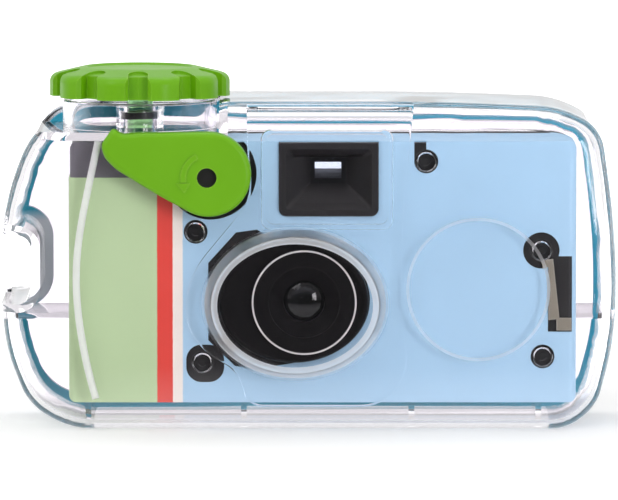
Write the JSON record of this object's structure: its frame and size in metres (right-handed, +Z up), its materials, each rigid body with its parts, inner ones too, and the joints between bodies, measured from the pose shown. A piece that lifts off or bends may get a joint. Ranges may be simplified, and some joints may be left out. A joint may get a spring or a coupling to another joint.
{
  "type": "disposable film camera",
  "caption": "Single-use film camera in a clear waterproof case with a lobed winding knob, a press-down shutter lever, an oval lens port and a strap slot.",
  "frame": {"origin": "under the middle of the case, on the surface that it stands on", "axes": "+Z up, +X to the right seen from the front, the lens looks along -Y"},
  "size_m": [0.1284, 0.05, 0.0751],
  "materials": {
    "clear_case": "clear polished polystyrene",
    "green_plastic": "satin moulded plastic",
    "pale_shaft": "pale green plastic",
    "teal_seal": "soft silicone",
    "dark_seal": "soft",
    "steel": "thin sheet and wire",
    "black_plastic": "fine moulded grain",
    "printed_card": "coated card printed in bands",
    "grey_plastic": "moulded",
    "optical": "polished",
    "white_plastic": "moulded",
    "cartridge_metal": "plain dark paint",
    "film": "brown film base"
  },
  "bodies": {
    "case": {"front_shell": "clear_case", "rear_shell": "clear_case", "case_gasket": "teal_seal", "knob_shaft_seal": "dark_seal", "lever_shaft_seal": "dark_seal", "front_cover": "black_plastic", "rear_cover": "black_plastic", "wrap_label": "printed_card", "side_catch": "grey_plastic", "lens_surround": "black_plastic", "lens_ring": "black_plastic", "taking_lens": "optical", "lens_seat": "black_plastic", "aperture_plate": "steel", "viewfinder_bezel": "black_plastic", "viewfinder_front_lens": "optical", "viewfinder_rear_lens": "optical", "camera_chassis": "black_plastic", "top_plate": "black_plastic", "film_cartridge": "cartridge_metal", "film_strip": "film", "release_spring": "steel"},
    "knob": {"wind_knob": "green_plastic", "knob_shaft": "pale_shaft", "knob_clip": "steel"},
    "take_up": {"cartridge_spool": "white_plastic", "wind_wheel": "white_plastic"},
    "supply": {"supply_spool": "white_plastic", "film_roll": "film"},
    "sprocket": {"sprocket_wheel": "white_plastic"},
    "counter": {"counter_dial": "white_plastic"},
    "lever": {"shutter_lever": "green_plastic", "lever_shaft": "black_plastic", "press_crank": "black_plastic"},
    "slider": {"release_slider": "black_plastic"},
    "trigger": {"trigger_lever": "black_plastic"},
    "shutter": {"shutter_blade": "steel"},
    "pawl": {"wind_pawl": "grey_plastic"}
  },
  "joints": [
    {"name": "knob_turn", "type": "hinge", "parent": "case", "child": "knob", "pos_m": [-0.0354, -0.0018, 0.072], "axis": [0, 0, 1], "continuous": true},
    {"name": "take_up_turn", "type": "hinge", "parent": "case", "child": "take_up", "pos_m": [-0.0354, -0.0018, 0.057], "axis": [0, 0, 1], "continuous": true},
    {"name": "supply_turn", "type": "hinge", "parent": "case", "child": "supply", "pos_m": [0.0353, -0.0018, 0.033], "axis": [0, 0, 1], "continuous": true},
    {"name": "sprocket_turn", "type": "hinge", "parent": "case", "child": "sprocket", "pos_m": [-0.0156, 0.0034, 0.05], "axis": [0, 0, 1], "continuous": true},
    {"name": "counter_turn", "type": "hinge", "parent": "case", "child": "counter", "pos_m": [-0.0156, -0.0049, 0.0566], "axis": [0, 0, 1], "continuous": true},
    {"name": "lever_press", "type": "hinge", "parent": "case", "child": "lever", "pos_m": [-0.0211, -0.022, 0.0533], "axis": [0, -1, 0], "range_deg": [0, 20], "stiffness_Nm_per_rad": 0.02, "springref_deg": -20.05},
    {"name": "slider_press", "type": "slide", "parent": "case", "child": "slider", "axis": [0, 0, -1], "range_m": [0, 0.0016], "deforming": ["release_spring"]},
    {"name": "trigger_swing", "type": "hinge", "parent": "case", "child": "trigger", "pos_m": [-0.009, -0.012, 0.0365], "axis": [0, -1, 0], "range_deg": [0, 6]},
    {"name": "shutter_swing", "type": "hinge", "parent": "case", "child": "shutter", "pos_m": [0.0084, -0.0115, 0.031], "axis": [0, -1, 0], "range_deg": [0, 35], "stiffness_Nm_per_rad": 0.0002, "springref_deg": -20.05},
    {"name": "pawl_swing", "type": "hinge", "parent": "case", "child": "pawl", "pos_m": [-0.02, 0.0064, 0.0568], "axis": [0, 0, 1], "range_deg": [0, 12], "stiffness_Nm_per_rad": 0.0002, "springref_deg": -11.46}
  ],
  "couplings": [
    {"joint": "take_up_turn", "follows": "knob_turn", "ratio": 1},
    {"joint": "supply_turn", "follows": "knob_turn", "ratio": 0.6},
    {"joint": "sprocket_turn", "follows": "knob_turn", "ratio": 1.1},
    {"joint": "counter_turn", "follows": "knob_turn", "ratio": -0.044},
    {"joint": "slider_press", "follows": "lever_press", "m_per_rad": 0.0045},
    {"joint": "trigger_swing", "follows": "lever_press", "ratio": 0.268}
  ]
}
